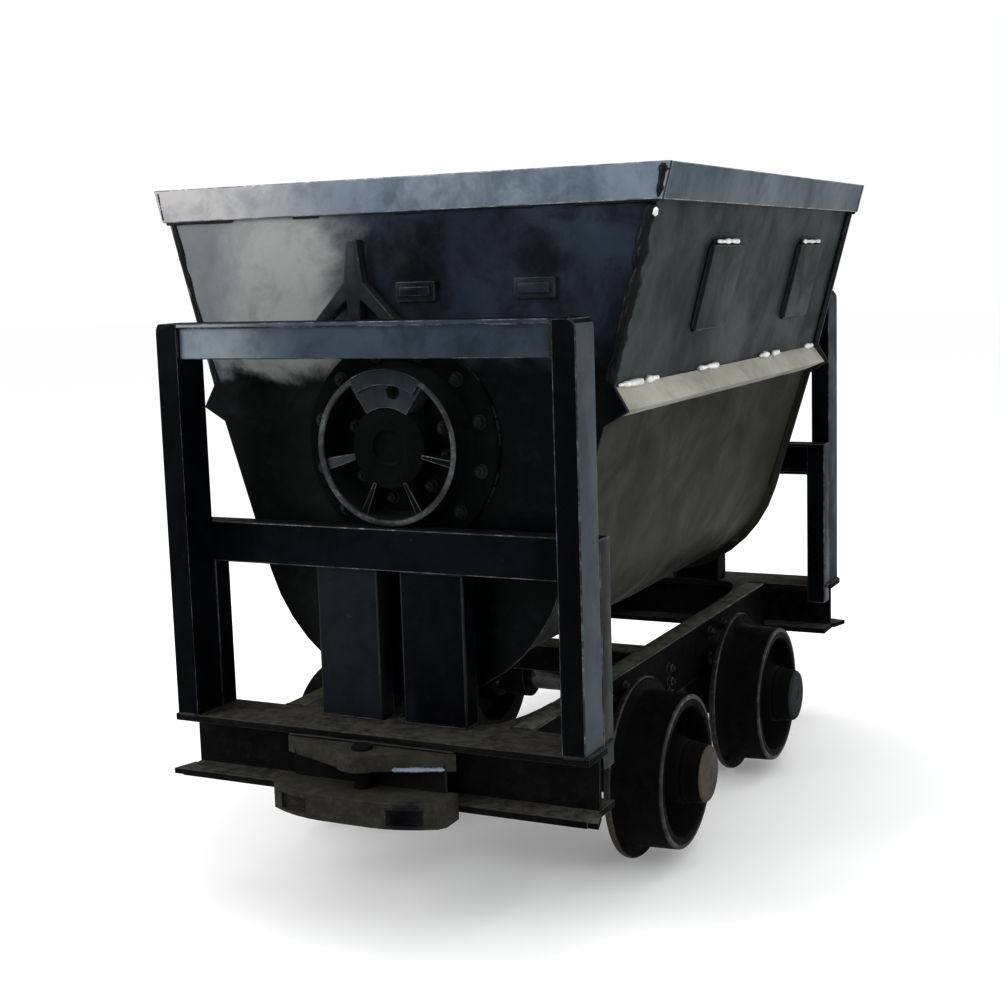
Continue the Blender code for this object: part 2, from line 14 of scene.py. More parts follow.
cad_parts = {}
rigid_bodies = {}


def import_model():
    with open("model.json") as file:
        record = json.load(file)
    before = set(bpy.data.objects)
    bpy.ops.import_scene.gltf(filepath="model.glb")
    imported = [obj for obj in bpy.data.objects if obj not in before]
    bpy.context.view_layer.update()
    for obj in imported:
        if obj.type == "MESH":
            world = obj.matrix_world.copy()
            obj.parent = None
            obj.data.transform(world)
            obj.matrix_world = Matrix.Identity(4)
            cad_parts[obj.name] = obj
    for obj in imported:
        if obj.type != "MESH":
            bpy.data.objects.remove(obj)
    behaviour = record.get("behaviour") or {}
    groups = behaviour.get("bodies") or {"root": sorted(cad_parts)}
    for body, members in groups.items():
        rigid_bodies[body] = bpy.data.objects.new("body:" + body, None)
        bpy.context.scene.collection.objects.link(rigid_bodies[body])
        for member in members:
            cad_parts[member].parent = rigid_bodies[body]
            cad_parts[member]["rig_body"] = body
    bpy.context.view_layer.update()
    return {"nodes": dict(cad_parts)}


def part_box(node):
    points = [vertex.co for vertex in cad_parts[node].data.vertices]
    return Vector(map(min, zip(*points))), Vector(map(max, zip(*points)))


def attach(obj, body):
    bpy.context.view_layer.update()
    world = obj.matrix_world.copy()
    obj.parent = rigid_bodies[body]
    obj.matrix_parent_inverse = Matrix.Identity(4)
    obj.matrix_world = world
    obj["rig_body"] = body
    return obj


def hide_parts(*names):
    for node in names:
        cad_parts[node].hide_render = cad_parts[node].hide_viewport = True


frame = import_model()

ENDS = (("front", -1), ("rear", 1))
SIDES = (("left", -1), ("right", 1))

# Sizes shared with the CAD model, in metres.
PIVOT_Z = 0.834
RING_RADIUS = 0.139
RING_BACK = 0.653        # where the ring's parts stand on its disc, from the cart's middle
DISC_FACE = 0.654
WHEEL_Y = 0.300
WHEEL_Z = 0.175
CAP_END = 0.444          # how far the hub caps reach from the cart's middle
KNEE = (0.390, 0.930)    # half width and height of the bend in the tub's side
WALL_SLOPE = 0.2676      # widening per height above the knee
TROUGH_SLOPE = 0.3287    # and below it
ROUND_TOP = 0.600        # top of the trough's round bottom
TROUGH = (0.685, 0.294)  # height of its centre and its radius
WALL_PLATES = ((-0.290, -0.115), (0.285, 0.455))  # from y to y
SILL_SIDE = 0.255

# Where beads of weld lie.
DECK_SEAM = 0.3465
BAR_SEAM = 0.619         # under the inner frame's bar
END_SEAM = 0.6425        # on an end plate
RIM_SEAM = 1.235

# Camera, lights and floor ---------------------------------------------------------------------


def make_camera():
    data = bpy.data.cameras.new("camera")
    data.lens = 58.2
    data.sensor_width = 36
    data.clip_end = 100
    camera = bpy.data.objects.new("camera", data)
    bpy.context.scene.collection.objects.link(camera)
    heading, pitch, roll = radians(26.3), radians(-8.2), radians(-1.8)
    turn = Matrix.Rotation(heading, 4, "Z") @ Matrix.Rotation(pi / 2 + pitch, 4, "X")
    turn = turn @ Matrix.Rotation(roll, 4, "Z")
    camera.matrix_world = Matrix.Translation((1.414, -3.125, 1.140)) @ turn
    bpy.context.scene.camera = camera


def area_light(name, place, target, size, power, colour=(1, 1, 1)):
    data = bpy.data.lights.new(name, "AREA")
    data.shape = "RECTANGLE"
    data.size, data.size_y = size
    data.energy = power
    data.color = colour
    light = bpy.data.objects.new(name, data)
    bpy.context.scene.collection.objects.link(light)
    light.location = place
    light.rotation_euler = (Vector(target) - Vector(place)).to_track_quat("-Z", "Y").to_euler()


def make_studio():
    world = bpy.data.worlds.new("studio")
    bpy.context.scene.world = world
    world.use_nodes = True
    ambient = world.node_tree.nodes["Background"]
    ambient.inputs["Color"].default_value = (1, 1, 1, 1)
    ambient.inputs["Strength"].default_value = 1.0
    area_light("key", (-3.4, -4.2, 3.0), (0, -0.2, 0.8), (2.2, 2.6), 150)
    area_light("side", (4.4, -1.2, 2.6), (0, 0, 0.7), (2.0, 2.6), 45, (0.95, 0.98, 1))
    area_light("top", (0.2, 0.6, 4.6), (0, 0, 0.8), (3.0, 3.0), 70)
    # This view transform and gamma keep the paper white and the paint deep.
    bpy.context.scene.view_settings.view_transform = "Standard"
    bpy.context.scene.view_settings.gamma = 0.70

    bpy.ops.mesh.primitive_plane_add(size=60, location=(0, 0, -0.0005))
    floor = bpy.context.object
    floor.name = "floor"
    mat = bpy.data.materials.new("floor_paper")
    mat.use_nodes = True
    shader = mat.node_tree.nodes["Principled BSDF"]
    shader.inputs["Base Color"].default_value = (0.70, 0.70, 0.70, 1)
    shader.inputs["Emission Color"].default_value = (1, 1, 1, 1)
    shader.inputs["Emission Strength"].default_value = 0.29
    shader.inputs["Roughness"].default_value = 1.0
    shader.inputs["Specular IOR Level"].default_value = 0.0
    floor.data.materials.append(mat)


# Materials ------------------------------------------------------------------------------------


class Graph:
    """A material's nodes, with short calls for the patterns that the finishes share."""

    def __init__(self, name):
        self.mat = bpy.data.materials.new(name)
        self.mat.use_nodes = True
        self.nodes = self.mat.node_tree.nodes
        self.links = self.mat.node_tree.links
        self.shader = self.nodes["Principled BSDF"]
        self.coord = self.nodes.new("ShaderNodeTexCoord")

    def noise(self, scale, detail=4, rough=0.55, warp=0.0, stretch=None, offset=(0, 0, 0)):
        source = self.coord.outputs["Object"]
        if stretch or any(offset):
            mapping = self.nodes.new("ShaderNodeMapping")
            mapping.inputs["Scale"].default_value = stretch or (1, 1, 1)
            mapping.inputs["Location"].default_value = offset
            self.links.new(source, mapping.inputs["Vector"])
            source = mapping.outputs["Vector"]
        node = self.nodes.new("ShaderNodeTexNoise")
        node.inputs["Scale"].default_value = scale
        node.inputs["Detail"].default_value = detail
        node.inputs["Roughness"].default_value = rough
        node.inputs["Distortion"].default_value = warp
        self.links.new(source, node.inputs["Vector"])
        return node.outputs["Fac"]

    def span(self, value, low, high, to_low=0.0, to_high=1.0):
        """Maps value from low..high to to_low..to_high, smoothly and clamped."""
        node = self.nodes.new("ShaderNodeMapRange")
        node.interpolation_type = "SMOOTHSTEP"
        for key, number in (("From Min", low), ("From Max", high), ("To Min", to_low), ("To Max", to_high)):
            node.inputs[key].default_value = number
        self.links.new(value, node.inputs["Value"])
        return node.outputs["Result"]

    def feed(self, socket, value):
        """Sets a socket to a colour or number, or links another socket to it."""
        if isinstance(value, tuple):
            socket.default_value = (*value, 1)
        elif isinstance(value, (int, float)):
            socket.default_value = value
        else:
            self.links.new(value, socket)

    def maths(self, operation, a, b, clamp):
        node = self.nodes.new("ShaderNodeMath")
        node.operation = operation
        node.use_clamp = clamp
        for socket, value in zip(node.inputs, (a, b)):
            self.feed(socket, value)
        return node.outputs[0]

    def times(self, a, b):
        return self.maths("MULTIPLY", a, b, True)

    def plus(self, a, b, clamp=True):
        return self.maths("ADD", a, b, clamp)

    def mix(self, factor, a, b):
        node = self.nodes.new("ShaderNodeMix")
        node.data_type = "RGBA"
        for socket, value in ((node.inputs[0], factor), (node.inputs[6], a), (node.inputs[7], b)):
            self.feed(socket, value)
        return node.outputs[2]

    def along(self, axis, source="Object"):
        """One axis of the place, or of the normal."""
        split = self.nodes.new("ShaderNodeSeparateXYZ")
        self.links.new(self.coord.outputs[source], split.inputs[0])
        return split.outputs[axis]

    def upward(self):
        """1 where the surface faces up, 0 where it is upright or faces down."""
        return self.span(self.along("Z", "Normal"), 0.25, 0.95)

    def region(self, axis, start, stop, wander=0.05):
        """1 before start and 0 beyond stop along an axis, with an uneven border."""
        wobble = self.span(self.noise(5, 6, 0.6, 0.4), 0.2, 0.8, -wander, wander)
        return self.span(self.plus(self.along(axis), wobble, False), start, stop, 1, 0)

    def spot(self, centre, near, far):
        """1 within near of a point and 0 beyond far, with an uneven border."""
        node = self.nodes.new("ShaderNodeVectorMath")
        node.operation = "DISTANCE"
        self.links.new(self.coord.outputs["Object"], node.inputs[0])
        node.inputs[1].default_value = centre
        wobble = self.span(self.noise(16, 5, 0.6, 0.4), 0.2, 0.8, -0.3 * far, 0.3 * far)
        return self.span(self.plus(node.outputs["Value"], wobble, False), near, far, 1, 0)

    def with_shade_spots(self, colour, spots):
        """The colour with a patch of painted shade at each (centre, near, far, colour) of spots."""
        for centre, near, far, shade_colour in spots:
            colour = self.mix(self.times(self.spot(centre, near, far), 0.85), colour, shade_colour)
        return colour

    def blend(self, a, b, share):
        """The sum of two values, of which the first counts for share and the second for the rest."""
        return self.plus(self.times(a, share), self.times(b, 1 - share))

    def bump(self, height, distance, strength=1.0, under=None):
        node = self.nodes.new("ShaderNodeBump")
        node.inputs["Distance"].default_value = distance
        node.inputs["Strength"].default_value = strength
        self.links.new(height, node.inputs["Height"])
        if under is not None:
            self.links.new(under, node.inputs["Normal"])
        return node.outputs["Normal"]

    def finish(self, colour, roughness, normal, metallic=0.0, specular=0.5):
        for key, value in (("Base Color", colour), ("Roughness", roughness), ("Normal", normal),
                           ("Metallic", metallic), ("Specular IOR Level", specular)):
            self.feed(self.shader.inputs[key], value)
        return self.mat


CHIP = (0.20, 0.20, 0.20)  # bare metal where paint has chipped off


def painted(name, base, second, dark, dust=(0.10, 0.095, 0.08), dusty=0.5, haze=0.12, rough=(0.28, 0.6),
            streaks=0.3, chips=0.25, wave=0.004, specular=0.12, seed=0.0, light_and_shade=(), spots=()):
    """Worn paint on plate: soft patches, runs down the sides, chips, and dust on what faces up.

    Each band along an axis is (axis, start, stop, colour, least): a lighter colour laid on as painted
    light, or a darker one as painted shade, over the paint before start and giving way to the plain
    paint at stop; least is how strongly it stays in its weakest patches.
    Each spot is (centre, near, far, colour): a patch of painted shade.
    """
    g = Graph(name)
    shift = (seed, seed * 0.7, seed * 1.3)
    patches = g.span(g.noise(2.4, 8, 0.62, 0.7, offset=shift), 0.40, 0.64)
    blotches = g.span(g.noise(11, 6, 0.65, 0.4, offset=shift), 0.42, 0.70)
    runs = g.span(g.noise(1.0, 5, 0.6, stretch=(34, 34, 2.2), offset=shift), 0.50, 0.72)
    grain = g.noise(160, 3, 0.6)
    fine = g.noise(45, 6, 0.7, offset=shift)
    colour = g.mix(patches, base, second)
    colour = g.mix(g.times(blotches, 0.65), colour, dark)
    colour = g.mix(g.times(runs, streaks), colour, second)
    # Bands of painted light and painted shade along an axis.
    for axis, start, stop, light, least in light_and_shade:
        light_shade_share = g.times(g.region(axis, start, stop), g.span(blotches, 0, 1, 0.98, least))
        colour = g.mix(light_shade_share, colour, light)
    # Spots of painted shade.
    colour = g.with_shade_spots(colour, spots)
    settled = g.times(g.upward(), g.span(fine, 0.30, 0.62, 0.35, 1.0))
    film = g.times(g.span(fine, 0.45, 0.75), haze)
    dirt = g.plus(g.times(settled, dusty), film)
    colour = g.mix(dirt, colour, dust)
    chipped = g.times(g.span(g.noise(60, 8, 0.75, 0.3, offset=shift), 0.66, 0.70), chips)
    colour = g.mix(chipped, colour, CHIP)
    wear = g.span(g.noise(7, 6, 0.6, 0.5, offset=shift), 0.35, 0.70, rough[0], rough[1])
    roughness = g.plus(wear, g.times(dirt, 0.45))
    waves = g.bump(g.noise(3.2, 2, 0.5, 0.2, offset=shift), wave)
    texture = g.bump(g.blend(fine, grain, 0.8), 0.0012, 0.5, waves)
    return g.finish(colour, roughness, texture, chipped, specular)


def edge_wear(name, paint, rubbed, keep, seed=0.0, metallic=0.55):
    """Rounded edges, where paint has rubbed thin and in places shows the steel."""
    g = Graph(name)
    shift = (seed, seed * 1.7, seed * 0.4)
    broken = g.span(g.noise(16, 8, 0.72, 0.6, offset=shift), keep - 0.06, keep + 0.10)
    nicks = g.span(g.noise(85, 6, 0.7, offset=shift), 0.48, 0.60)
    worn = g.times(broken, g.plus(nicks, 0.45))
    colour = g.mix(worn, paint, rubbed)
    roughness = g.span(worn, 0, 1, 0.5, 0.38)
    normal = g.bump(g.noise(120, 5, 0.7), 0.0008, 0.6)
    return g.finish(colour, roughness, normal, g.times(worn, metallic))


def casting(name, base, second, dust, dusty=0.6, haze=0.3, rough=(0.5, 0.8), seed=0.0, pits=0.0016,
            specular=0.12, spots=()):
    """Sand-cast iron: a pitted skin with dark scale, dust in its hollows and on its top, and spots of painted
    shade.
    """
    g = Graph(name)
    shift = (seed, seed * 0.6, seed * 2.1)
    patches = g.span(g.noise(9, 8, 0.66, 0.6, offset=shift), 0.38, 0.66)
    skin = g.noise(70, 8, 0.72, 0.1, offset=shift)
    pores = g.noise(210, 3, 0.6)
    colour = g.mix(patches, base, second)
    settled = g.times(g.upward(), dusty)
    film = g.times(g.span(skin, 0.42, 0.66), haze)
    dirt = g.plus(settled, film)
    colour = g.mix(dirt, colour, dust)
    # Spots of painted shade.
    colour = g.with_shade_spots(colour, spots)
    roughness = g.plus(g.span(skin, 0.3, 0.7, rough[0], rough[1]), g.times(dirt, 0.2))
    normal = g.bump(g.blend(skin, pores, 0.7), pits, 0.8)
    return g.finish(colour, roughness, normal, 0.0, specular)


def bare_steel(name, base, second, rough=(0.25, 0.5), seed=0.0, shine=0.95):
    """Handled steel with a brown film and fine scratches."""
    g = Graph(name)
    shift = (seed, seed, seed)
    film = g.span(g.noise(18, 8, 0.7, 0.5, offset=shift), 0.42, 0.66)
    lines = g.noise(1.0, 4, 0.6, stretch=(30, 220, 220), offset=shift)
    colour = g.mix(film, base, second)
    roughness = g.plus(g.span(film, 0, 1, rough[0], rough[1]), g.span(lines, 0.45, 0.7, 0, 0.15))
    normal = g.bump(g.blend(lines, film, 0.5), 0.0005, 0.5)
    return g.finish(colour, roughness, normal, g.span(film, 0, 1, shine, shine / 2), shine / 2)


def weld_metal(name, base, second, seed=0.0):
    """Weld beads: blue-brown heat colours under spatter and dust."""
    g = Graph(name)
    tint = g.span(g.noise(40, 6, 0.7, 0.4, offset=(seed, 0, 0)), 0.40, 0.62)
    colour = g.mix(tint, base, second)
    roughness = g.span(tint, 0, 1, 0.38, 0.65)
    normal = g.bump(g.noise(260, 4, 0.7), 0.0006, 0.7)
    return g.finish(colour, roughness, normal, 0.35)


make_camera()
make_studio()

SOOT = (0.002, 0.002, 0.003)

# Every finish, under the short name that the pieces ask for.
MAT = {
    "frame": painted("frame_paint_worn", (0.0026, 0.0034, 0.0046), (0.0080, 0.0105, 0.0140), SOOT,
        dust=(0.040, 0.042, 0.044), dusty=0.5, haze=0.05, rough=(0.32, 0.55), wave=0.0012, specular=0.04),
    # A lighter copy of the frame paint for the posts' outward sides: painted light, lightest on the front
    # posts.
    "frame_lit_side": painted("frame_paint_lit_side", (0.022, 0.028, 0.035), (0.050, 0.062, 0.075),
        (0.012, 0.015, 0.019), dust=(0.110, 0.122, 0.128), haze=0.22, rough=(0.35, 0.6), streaks=0.7,
        wave=0.0012, seed=2.9, light_and_shade=(("Y", -0.3, 0.3, (0.078, 0.095, 0.110), 0.72),)),
    # The top beam's front face is painted lighter as painted light, lightest towards its left end.
    "beam_face_lit": painted("beam_face_paint_lit", (0.044, 0.060, 0.082), (0.066, 0.086, 0.112),
        (0.022, 0.030, 0.041), dust=(0.085, 0.098, 0.110), haze=0.15, rough=(0.30, 0.5), streaks=0.25,
        wave=0.0014, seed=6.1, light_and_shade=(("X", -0.30, -0.10, (0.225, 0.256, 0.282), 0.72),)),
    "frame_edge": edge_wear("frame_edge_worn", (0.012, 0.016, 0.021), (0.15, 0.18, 0.21), 0.49),
    "column_edge": edge_wear("column_edge_worn", (0.008, 0.010, 0.013), (0.040, 0.048, 0.056), 0.54,
        seed=1.1),
    "rib": painted("rib_paint", (0.026, 0.031, 0.032), (0.050, 0.056, 0.054), (0.006, 0.008, 0.010),
        dust=(0.090, 0.098, 0.098), haze=0.20, rough=(0.3, 0.5), wave=0.0020, seed=5.7),
    "column": painted("column_paint_worn_and_lit", (0.0028, 0.0036, 0.0048), (0.0080, 0.0100, 0.0130), SOOT,
        dust=(0.045, 0.048, 0.050), haze=0.07, rough=(0.35, 0.6), streaks=0.35, wave=0.0016,
        # Painted light: the columns are lighter towards -X, on their left.
        specular=0.04, seed=5.1, light_and_shade=(("X", -0.04, 0.05, (0.022, 0.028, 0.036), 0.72),)),
    "tub_end": painted("tub_end_paint", (0.025, 0.035, 0.052), (0.044, 0.059, 0.080),
        (0.0040, 0.0052, 0.0075), dust=(0.095, 0.105, 0.115), haze=0.07, rough=(0.22, 0.42), streaks=0.25,
        wave=0.0050, specular=0.08, seed=2.3,
        # Painted light and shade: the X bands are painted sky reflections on the left, the Z band is painted
        # shade below the top beam.
        light_and_shade=(("X", -0.17, -0.06, (0.330, 0.342, 0.336), 0.80),
               ("X", -0.40, -0.30, (0.180, 0.198, 0.210), 0.80),
               ("Z", 0.945, 0.995, (0.0020, 0.0028, 0.0034), 0.95)),
        # Painted shade: dark spots round the two lugs.
        spots=(((0.045, -0.641, 1.140), 0.020, 0.090, (0.0022, 0.0030, 0.0050)),
               ((0.265, -0.641, 1.155), 0.015, 0.075, (0.0060, 0.0080, 0.0130)))),
    "tub_side": painted("tub_side_paint", (0.036, 0.045, 0.047), (0.058, 0.070, 0.072),
        (0.022, 0.027, 0.029), dust=(0.095, 0.102, 0.100), haze=0.20, rough=(0.38, 0.62), streaks=0.35,
        wave=0.0030, seed=8.2),
    "tub_edge": edge_wear("tub_edge_worn", (0.012, 0.015, 0.019), (0.12, 0.135, 0.145), 0.55, seed=3.0),
    "plate_edge": edge_wear("plate_edge_worn", (0.034, 0.040, 0.042), (0.110, 0.118, 0.118), 0.58,
        seed=2.2),
    "trough": painted("trough_paint", (0.032, 0.034, 0.027), (0.038, 0.040, 0.0315),
        (0.025, 0.0265, 0.021), dust=(0.078, 0.080, 0.062), haze=0.24, rough=(0.45, 0.70), streaks=0.08,
        # Painted light and shade: the lower trough is lighter, and it darkens towards the bottom.
        wave=0.0030, seed=4.7, light_and_shade=(("Z", 0.58, 0.84, (0.062, 0.064, 0.050), 0.86),
                                      ("Z", 0.44, 0.53, (0.018, 0.019, 0.015), 0.72))),
    "tub_inner": painted("tub_inner_scuffed", (0.060, 0.052, 0.044), (0.125, 0.110, 0.092),
        (0.026, 0.020, 0.016), dust=(0.17, 0.15, 0.125), dusty=0.7, haze=0.35, rough=(0.45, 0.75),
        chips=0.6, wave=0.0040, seed=6.6),
    "rim": painted("rim_paint", (0.185, 0.222, 0.268), (0.250, 0.285, 0.325), (0.080, 0.100, 0.128),
        dust=(0.25, 0.26, 0.265), haze=0.14, rough=(0.30, 0.5), streaks=0.30, wave=0.0022, seed=1.4,
        # Painted light: the rim is lighter towards its left.
        light_and_shade=(("X", -0.40, -0.02, (0.42, 0.41, 0.41), 0.66),)),
    "rim_side": painted("rim_side_paint", (0.100, 0.128, 0.150), (0.150, 0.180, 0.205),
        (0.055, 0.070, 0.085), dust=(0.21, 0.22, 0.22), haze=0.16, rough=(0.35, 0.55), streaks=0.30,
        wave=0.0022, seed=3.9),
    "rim_edge": edge_wear("rim_edge_worn", (0.12, 0.14, 0.165), (0.33, 0.35, 0.37), 0.46, seed=7.0,
        metallic=0.1),
    "ridge": painted("ridge_primer", (0.360, 0.352, 0.312), (0.450, 0.440, 0.392), (0.235, 0.230, 0.198),
        dust=(0.46, 0.45, 0.41), haze=0.25, rough=(0.5, 0.75), streaks=0.15, wave=0.0014, seed=9.1),
    "deck": painted("deck_paint", (0.0052, 0.0058, 0.0062), (0.0120, 0.0124, 0.0122), SOOT,
        dust=(0.108, 0.103, 0.089), dusty=0.95, haze=0.10, rough=(0.5, 0.75), wave=0.0012, specular=0.06,
        seed=3.3),
    "sill": painted("sill_paint", (0.0040, 0.0052, 0.0046), (0.0090, 0.0110, 0.0100), SOOT,
        dust=(0.165, 0.172, 0.135), dusty=0.95, haze=0.04, rough=(0.5, 0.75), wave=0.0012, specular=0.05,
        seed=7.3),
    "deck_edge": edge_wear("deck_edge_worn", (0.018, 0.018, 0.016), (0.13, 0.13, 0.115), 0.48, seed=6.0),
    "bumper": casting("bumper_casting", (0.030, 0.029, 0.025), (0.055, 0.053, 0.044),
        (0.088, 0.084, 0.070), dusty=0.50, haze=0.42, pits=0.0026, specular=0.08,
        # Painted shade: a dark spot in the pocket under the right of the jaws.
        spots=(((0.110, -0.880, 0.232), 0.016, 0.040, (0.0070, 0.0085, 0.0140)),)),
    # Painted shade on the back wall between the bumper's jaws.
    "slot": casting("bumper_slot_painted_shade", (0.0070, 0.0070, 0.0080), (0.0150, 0.0145, 0.0135),
        (0.034, 0.032, 0.027), haze=0.2, specular=0.05, seed=1.2),
    "bumper_edge": edge_wear("bumper_edge_worn", (0.034, 0.033, 0.028), (0.14, 0.16, 0.19), 0.58,
        seed=1.9),
    "rubbed": bare_steel("rubbed_steel", (0.26, 0.30, 0.36), (0.075, 0.080, 0.090), (0.3, 0.5), 4.0, 0.3),
    "ring": casting("ring_casting", (0.0030, 0.0042, 0.0042), (0.0080, 0.0105, 0.0110),
        (0.036, 0.042, 0.042), dusty=0.6, haze=0.07, rough=(0.35, 0.6), specular=0.05, seed=2.0),
    # A lighter copy of the ring casting for its top sector and one rib: painted light.
    "ring_sector_lit": casting("ring_sector_casting_lit", (0.027, 0.035, 0.041), (0.047, 0.058, 0.067),
        (0.070, 0.080, 0.084), haze=0.20, rough=(0.35, 0.6), seed=8.0),
    "ring_edge": edge_wear("ring_edge_worn", (0.016, 0.020, 0.021), (0.12, 0.135, 0.135), 0.48, seed=4.0),
    "ring_bolt": casting("ring_bolt_steel", (0.016, 0.019, 0.020), (0.034, 0.038, 0.038),
        (0.075, 0.080, 0.080), haze=0.3, rough=(0.35, 0.6), seed=9.4),
    "wheel": casting("wheel_casting", (0.0022, 0.0030, 0.0028), (0.0056, 0.0066, 0.0062),
        (0.022, 0.021, 0.018), dusty=0.30, haze=0.05, rough=(0.38, 0.65), specular=0.05, seed=6.0),
    "tread": bare_steel("wheel_tread_steel", (0.0078, 0.0082, 0.0080), (0.0036, 0.0040, 0.0038),
        (0.5, 0.7), 1.0, 0.1),
    # A brownish painted highlight on the flange's crest.
    "flange": edge_wear("flange_edge_highlight", (0.012, 0.011, 0.010), (0.090, 0.072, 0.064), 0.48, seed=8.8,
        metallic=0.1),
    "wheel_edge": edge_wear("wheel_edge_worn", (0.010, 0.011, 0.011), (0.095, 0.100, 0.096), 0.50,
        seed=5.5),
    "cap": casting("hub_cap_casting", (0.021, 0.023, 0.027), (0.040, 0.042, 0.045), (0.054, 0.054, 0.054),
        dusty=0.4, haze=0.25, seed=3.0, pits=0.0010),
    # A lighter brown copy of the cap casting for the front caps: painted light.
    "cap_front_lit": casting("hub_cap_casting_brown_lit", (0.074, 0.062, 0.053), (0.120, 0.102, 0.088),
        (0.140, 0.124, 0.110), dusty=0.4, haze=0.30, seed=3.4, pits=0.0010),
    "cast": casting("saddle_casting", (0.0036, 0.0042, 0.0040), (0.0090, 0.0092, 0.0086),
        (0.028, 0.026, 0.022), haze=0.12, specular=0.06, seed=7.0),
    "steel": bare_steel("bare_steel_worn", (0.13, 0.13, 0.13), (0.035, 0.030, 0.026), seed=2.0),
    "bolt": bare_steel("bolt_steel", (0.10, 0.10, 0.10), (0.030, 0.028, 0.025), (0.35, 0.6), 5.0),
    "weld": weld_metal("weld_dark", (0.006, 0.007, 0.008), (0.028, 0.030, 0.032)),
    "weld_black": weld_metal("weld_painted_black", (0.0020, 0.0026, 0.0032), (0.0090, 0.0110, 0.0130),
        6.0),
    # Pale weld beads: real tack welds, painted near white as painted highlights.
    "tack_highlight": weld_metal("weld_pale_highlight", (0.60, 0.59, 0.58), (0.85, 0.84, 0.84), 3.0),
}

# Building pieces ------------------------------------------------------------------------------


def piece(name, work, materials, body, nodes=(), sharp=32):
    """Turns a bmesh into a shown piece that rides on a body and stands for CAD nodes."""
    mesh = bpy.data.meshes.new(name)
    bmesh.ops.recalc_face_normals(work, faces=work.faces)
    work.to_mesh(mesh)
    work.free()
    for key in materials:
        mesh.materials.append(MAT[key])
    mesh.shade_smooth()
    mesh.set_sharp_from_angle(angle=radians(sharp))
    obj = bpy.data.objects.new(name, mesh)
    bpy.context.scene.collection.objects.link(obj)
    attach(obj, body)
    if nodes:
        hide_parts(*nodes)


def carried(node):
    """The CAD solid as a clean bmesh, its flat faces merged."""
    work = bmesh.new()
    work.from_mesh(frame["nodes"][node].data)
    for face in work.faces:
        face.material_index = 0
    bmesh.ops.remove_doubles(work, verts=work.verts, dist=0.00002)
    bmesh.ops.dissolve_limit(work, angle_limit=radians(0.6), verts=work.verts, edges=work.edges)
    return work


def soften(work, width, steps=2, angle=28, index=1):
    """Rounds every sharp edge; the new faces take the worn-edge material."""
    edges = [e for e in work.edges if len(e.link_faces) == 2 and e.calc_face_angle() > radians(angle)]
    bmesh.ops.bevel(work, geom=edges, offset=width, segments=steps, profile=0.6, affect="EDGES",
                    clamp_overlap=True, material=index)


def cut_along(work, point, normal):
    """Cuts every face that a plane passes through, and keeps both parts."""
    bmesh.ops.bisect_plane(work, geom=work.verts[:] + work.edges[:] + work.faces[:],
                           dist=0.00001, plane_co=point, plane_no=normal)


def facet_grid(work, step, axes):
    """Cuts large faces into a grid, so that they can be bent a little."""
    low = [min(v.co[a] for v in work.verts) for a in range(3)]
    high = [max(v.co[a] for v in work.verts) for a in range(3)]
    for axis in axes:
        normal = Vector([1.0 if a == axis else 0.0 for a in range(3)])
        place = low[axis] + step
        while place < high[axis] - step * 0.4:
            cut_along(work, Vector([place if a == axis else 0.0 for a in range(3)]), normal)
            place += step


def lathe(work, profile, place, along, steps=96, index=0):
    """Adds a turned solid. The profile is (radius, distance) pairs, from the outer end inwards.

    A profile that starts on the axis also ends on it; any other profile is a closed loop.
    """
    along = Vector(along).normalized()
    side = along.orthogonal().normalized()
    other = along.cross(side)
    rings = []
    for radius, distance in profile:
        middle = Vector(place) + along * distance
        if radius < 1e-6:
            rings.append([work.verts.new(middle)])
        else:
            turns = [2 * pi * i / steps for i in range(steps)]
            rings.append([work.verts.new(middle + (side * cos(t) + other * sin(t)) * radius) for t in turns])
    pairs = list(zip(rings, rings[1:]))
    if profile[0][0] >= 1e-6:
        pairs.append((rings[-1], rings[0]))
    made = []
    for a, b in pairs:
        for i in range(steps):
            j = (i + 1) % steps
            corners = [a[i % len(a)], a[j % len(a)], b[j % len(b)], b[i % len(b)]]
            corners = [v for k, v in enumerate(corners) if v not in corners[:k]]
            if len(corners) > 2:
                made.append(work.faces.new(corners))
    for face in made:
        face.material_index = index
    return made


def prism(work, outline, low, high, index=0):
    """Adds a straight solid along Y, from an outline of (x, z) pairs."""
    bottom = [work.verts.new((x, low, z)) for x, z in outline]
    top = [work.verts.new((x, high, z)) for x, z in outline]
    made = [work.faces.new(bottom), work.faces.new(list(reversed(top)))]
    for i in range(len(outline)):
        j = (i + 1) % len(outline)
        made.append(work.faces.new((bottom[j], bottom[i], top[i], top[j])))
    for face in made:
        face.material_index = index


def add_softened(work, part, width):
    """Moves a part into work, with its sharp edges rounded."""
    bmesh.ops.recalc_face_normals(part, faces=part.faces)
    soften(part, width, 2, 40)
    scrap = bpy.data.meshes.new("part")
    part.to_mesh(scrap)
    part.free()
    work.from_mesh(scrap)
    bpy.data.meshes.remove(scrap)


